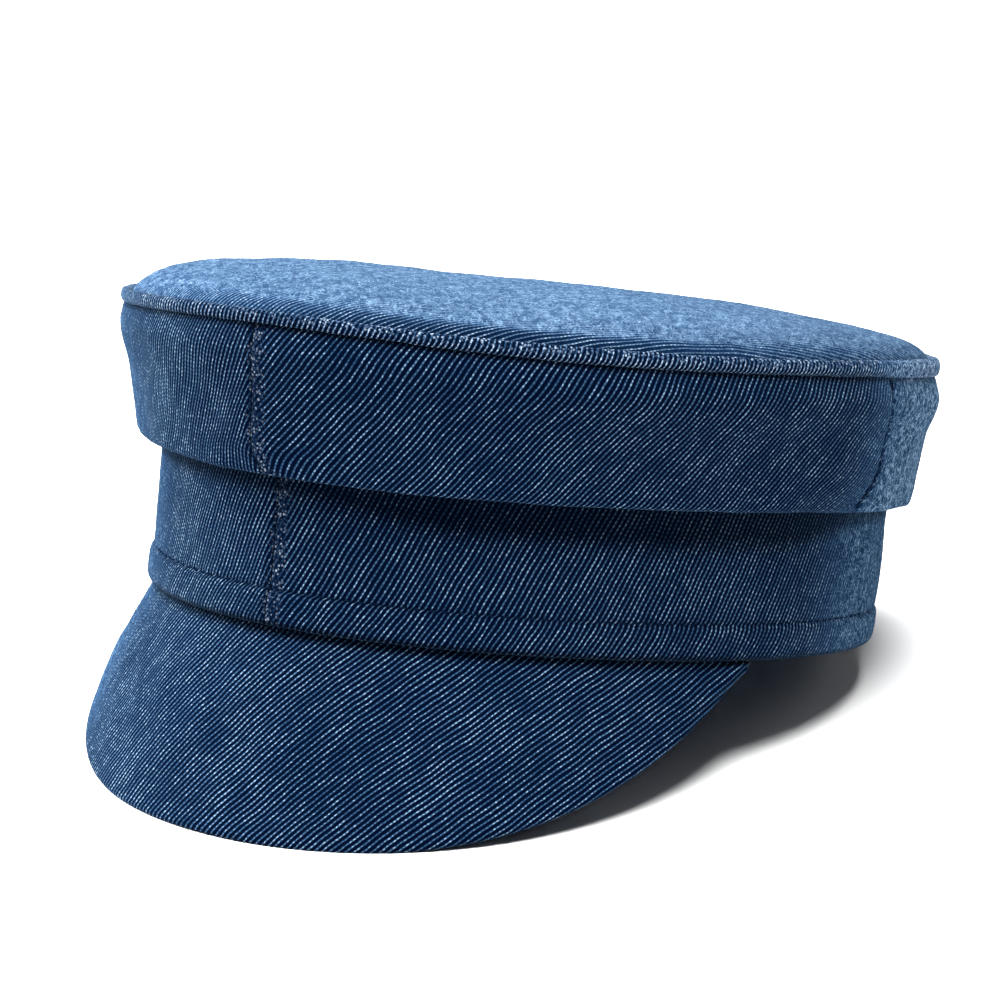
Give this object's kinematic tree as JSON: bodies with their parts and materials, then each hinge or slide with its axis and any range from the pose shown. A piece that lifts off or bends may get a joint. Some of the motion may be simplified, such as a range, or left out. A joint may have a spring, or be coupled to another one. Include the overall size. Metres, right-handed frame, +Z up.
{
  "type": "baker boy cap",
  "caption": "Denim baker boy cap with a tall stitched band, a flat crown that overhangs it, a seam ridge round the top and a short steep peak.",
  "frame": {"origin": "centre of the bounding box at the surface the cap rests on", "axes": "+Z up, -Y towards the peak, +X towards the wearer's left"},
  "size_m": [0.1924, 0.2414, 0.1162],
  "materials": {
    "denim_top": "matte",
    "denim_side": "matte",
    "denim_band": "matte",
    "denim_peak": "matte"
  },
  "bodies": {
    "root": {"crown_top": "denim_top", "crown_welt": "denim_side", "side_front_left": "denim_side", "side_front_right": "denim_side", "side_back_left": "denim_side", "side_back_right": "denim_side", "band_left": "denim_band", "band_right": "denim_band", "peak": "denim_peak"}
  },
  "joints": []
}
